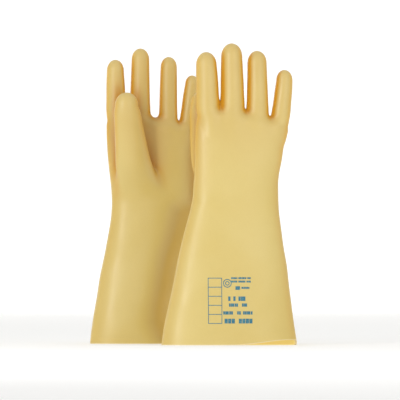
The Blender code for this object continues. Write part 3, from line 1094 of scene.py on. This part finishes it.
def word_marks(left, low, height, pattern, pitch):
    """Blocks that stand for print: a digit is how many cells a block fills, . a gap."""
    marks = []
    place = left
    for sign in pattern:
        cells = 1 if sign == "." else int(sign)
        if sign != ".":
            marks.append(rectangle(place, low, cells * pitch * BLOCK_SHARE, height))
        place += cells * pitch
    return marks


def print_marks():
    """The rows of blocks beside the ladder, from the top row down."""
    marks = []
    for left, low, height, pattern, pitch in PRINT_ROWS:
        marks += word_marks(left, low, height, pattern, pitch)
    return marks


def ring_quads(radius, pieces):
    """A plain ring round the symbol's place, as quads of (u, z) corners."""
    quads = []
    for index in range(pieces):
        start = 2 * math.pi * index / pieces
        end = 2 * math.pi * (index + 1) / pieces
        within = radius - SYMBOL_LINE
        corners = []
        for angle, reach in ((start, radius), (end, radius), (end, within), (start, within)):
            u = SYMBOL_PLACE[0] + reach * math.cos(angle)
            z = SYMBOL_PLACE[1] + reach * math.sin(angle)
            corners.append((u, z))
        quads.append(corners)
    return quads


def rectangle_quads(mark):
    """A rectangle as small quads, so that it can follow the curve of the cuff."""
    left, low, right, high = mark
    columns = max(1, round((right - left) / INK_GRID))
    rows = max(1, round((high - low) / INK_GRID))
    quads = []
    for column in range(columns):
        for row in range(rows):
            u0 = left + (right - left) * column / columns
            u1 = left + (right - left) * (column + 1) / columns
            z0 = low + (high - low) * row / rows
            z1 = low + (high - low) * (row + 1) / rows
            quads.append([(u0, z0), (u1, z0), (u1, z1), (u0, z1)])
    return quads


def ink_object(name, glove, surface, quads, material):
    """Thin closed ink on the cuff's back, each corner dropped onto the skin."""
    low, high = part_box(glove.side + "_date_grid")
    away = Vector((0, -glove.palm_sign, 0))
    drift = high.x - low.x - LADDER_WIDTH
    shape = bmesh.new()
    found = {}

    def corner(u, z):
        key = (round(u, 6), round(z, 6))
        if key not in found:
            tilt = drift * (1.0 - (z - LADDER_LOW) / (high.z - low.z))
            start = Vector((low.x + u + tilt, glove.centre_y, z)) + away * 0.1
            hit, normal, _, _ = surface.ray_cast(start, -away)
            found[key] = (
                shape.verts.new(hit + normal * INK_LIFT),
                shape.verts.new(hit - normal * INK_LIFT),
            )
        return found[key]

    rims = {}
    for quad in quads:
        pairs = [corner(u, z) for u, z in quad]
        tops = [pair[0] for pair in pairs]
        face = shape.faces.new(tops)
        shape.faces.new([pair[1] for pair in reversed(pairs)])
        for first, second in zip(pairs, pairs[1:] + pairs[:1]):
            if (second[0], first[0]) in rims:
                del rims[second[0], first[0]]
            else:
                rims[first[0], second[0]] = (first, second)
    for first, second in rims.values():
        shape.faces.new([second[0], first[0], first[1], second[1]])
    bmesh.ops.recalc_face_normals(shape, faces=shape.faces)
    mesh = bpy.data.meshes.new(name)
    shape.to_mesh(mesh)
    shape.free()
    mesh.materials.append(material)
    thing = add_object(name, mesh)
    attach(thing, glove.side + "_gauntlet")
    return thing


def add_ink(glove, skin, material):
    """The ladder of boxes, the rows of blocks and the symbol on a cuff's back."""
    shape = bmesh.new()
    shape.from_mesh(skin.data)
    surface = BVHTree.FromBMesh(shape)
    shape.free()
    ladder = [quad for mark in ladder_marks() for quad in rectangle_quads(mark)]
    thing = ink_object(f"ink_{glove.side}_ladder", glove, surface, ladder, material)
    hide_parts(glove.side + "_date_grid")
    rows = [quad for mark in print_marks() for quad in rectangle_quads(mark)]
    ink_object(f"ink_{glove.side}_rows", glove, surface, rows, material)
    rings = [quad for radius, pieces in SYMBOL_RINGS for quad in ring_quads(radius, pieces)]
    ink_object(f"ink_{glove.side}_symbol", glove, surface, rings, material)


# View and light
ROOM_FRONT = 0.785
ROOM_SIDE = 0.62
ROOM_SIDE_FROM = 0.30
ROOM_SIDE_FULL = 0.95
FLOOR_GLOW = 0.16
WALL_GLOW = 0.32
STAGE_COLOUR = (0.93, 0.93, 0.92, 1.0)
STAGE_HALF_WIDTH = 9.0
STAGE_DEPTH = 9.0
STAGE_HEIGHT = 9.0
LIGHT_TARGET = (0.0, 0.0, 0.2)
KEY_PLACE = (-1.36, -1.76, 0.75)
KEY_SIZE = (0.30, 1.7)
KEY_POWER = 13.5
FILL_PLACE = (1.2, -2.6, 1.0)
FILL_SIZE = (1.4, 1.4)
FILL_POWER = 7.5
ROOM_COLOUR = (1.0, 0.995, 0.985, 1.0)
VIEW_AZIMUTH = -10.0
CAMERA_DISTANCE = 5.6
CAMERA_HEIGHT = 0.070
VIEW_CENTRE = 0.01065
VIEW_HEIGHT = 0.1982
VIEW_WIDTH = 0.5412


def area_light(name, place, size, power):
    light = bpy.data.lights.new(name, "AREA")
    light.shape = "RECTANGLE"
    light.size, light.size_y = size
    light.energy = power
    thing = add_object(name, light)
    thing.location = place
    aim = Vector(LIGHT_TARGET) - Vector(place)
    thing.rotation_euler = aim.to_track_quat("-Z", "Y").to_euler()


def make_view():
    angle = math.radians(VIEW_AZIMUTH)
    forward = Vector((-math.sin(angle), math.cos(angle), 0.0))
    front = JOINTS["right_wrist_bend"]["pos_m"][1]
    centre = Vector((VIEW_CENTRE, 0, VIEW_HEIGHT))
    place = centre - forward * (CAMERA_DISTANCE + abs(front))
    place.z = CAMERA_HEIGHT
    camera = bpy.data.cameras.new("camera")
    camera.sensor_fit = "HORIZONTAL"
    camera.angle = 2.0 * math.atan(VIEW_WIDTH / 2.0 / CAMERA_DISTANCE)
    camera.clip_end = 30.0
    thing = add_object("camera", camera)
    thing.location = place
    thing.rotation_euler = (centre - place).to_track_quat("-Z", "Y").to_euler()
    bpy.context.scene.camera = thing


def stage_sheet(name, rows, glow):
    """A wide pale sheet through rows of (y, z)."""
    verts = []
    for y, z in rows:
        verts += [(-STAGE_HALF_WIDTH, y, z), (STAGE_HALF_WIDTH, y, z)]
    faces = [(2 * i, 2 * i + 1, 2 * i + 3, 2 * i + 2) for i in range(len(rows) - 1)]
    mesh = bpy.data.meshes.new(name)
    mesh.from_pydata(verts, [], faces)
    shader = Shader(name)
    surface = shader.surface
    surface.inputs["Base Color"].default_value = STAGE_COLOUR
    surface.inputs["Roughness"].default_value = 0.9
    surface.inputs["Specular IOR Level"].default_value = 0.1
    surface.inputs["Emission Color"].default_value = (1.0, 1.0, 1.0, 1.0)
    surface.inputs["Emission Strength"].default_value = glow
    mesh.materials.append(shader.material)
    add_object(name, mesh)


def make_stage():
    """A pale floor, and a pale wall far behind it."""
    stage_sheet("floor", [(-STAGE_HALF_WIDTH, 0.0), (STAGE_DEPTH, 0.0)], FLOOR_GLOW)
    stage_sheet("wall", [(STAGE_DEPTH, 0.0), (STAGE_DEPTH, STAGE_HEIGHT)], WALL_GLOW)


def make_light():
    """Soft light all round, less from the two sides, and a tall key light at the left."""
    world = bpy.data.worlds.new("room")
    world.use_nodes = True
    tree = world.node_tree
    background = tree.nodes["Background"]
    direction = tree.nodes.new("ShaderNodeTexCoord")
    split = tree.nodes.new("ShaderNodeSeparateXYZ")
    tree.links.new(direction.outputs["Generated"], split.inputs[0])
    aside = tree.nodes.new("ShaderNodeMath")
    aside.operation = "ABSOLUTE"
    tree.links.new(split.outputs["X"], aside.inputs[0])
    fall = tree.nodes.new("ShaderNodeMapRange")
    fall.interpolation_type = "SMOOTHSTEP"
    fall.inputs["From Min"].default_value = ROOM_SIDE_FROM
    fall.inputs["From Max"].default_value = ROOM_SIDE_FULL
    fall.inputs["To Min"].default_value = ROOM_FRONT
    fall.inputs["To Max"].default_value = ROOM_SIDE
    tree.links.new(aside.outputs[0], fall.inputs["Value"])
    tree.links.new(fall.outputs["Result"], background.inputs["Strength"])
    background.inputs["Color"].default_value = ROOM_COLOUR
    bpy.context.scene.world = world
    area_light("key", KEY_PLACE, KEY_SIZE, KEY_POWER)
    area_light("fill", FILL_PLACE, FILL_SIZE, FILL_POWER)
    bpy.context.scene.view_settings.view_transform = "Standard"


def main():
    outer = latex_material("latex", 0.0)
    cut_edge = cut_edge_material()
    # The inner face's latex, with a painted glow
    inner = latex_material("latex_inside", INSIDE_PAINTED_GLOW)
    ink = ink_material()
    for side, palm_sign in (("right", 1.0), ("left", -1.0)):
        glove = Glove(side, palm_sign)
        skins, divider = build_skins(glove, (outer, cut_edge, inner))
        if side == "right":
            lift_rim(glove, skins["gauntlet"])
        add_ink(glove, skins["gauntlet"], ink)
        attach_skins(glove, skins)
    make_view()
    make_light()
    make_stage()


main()
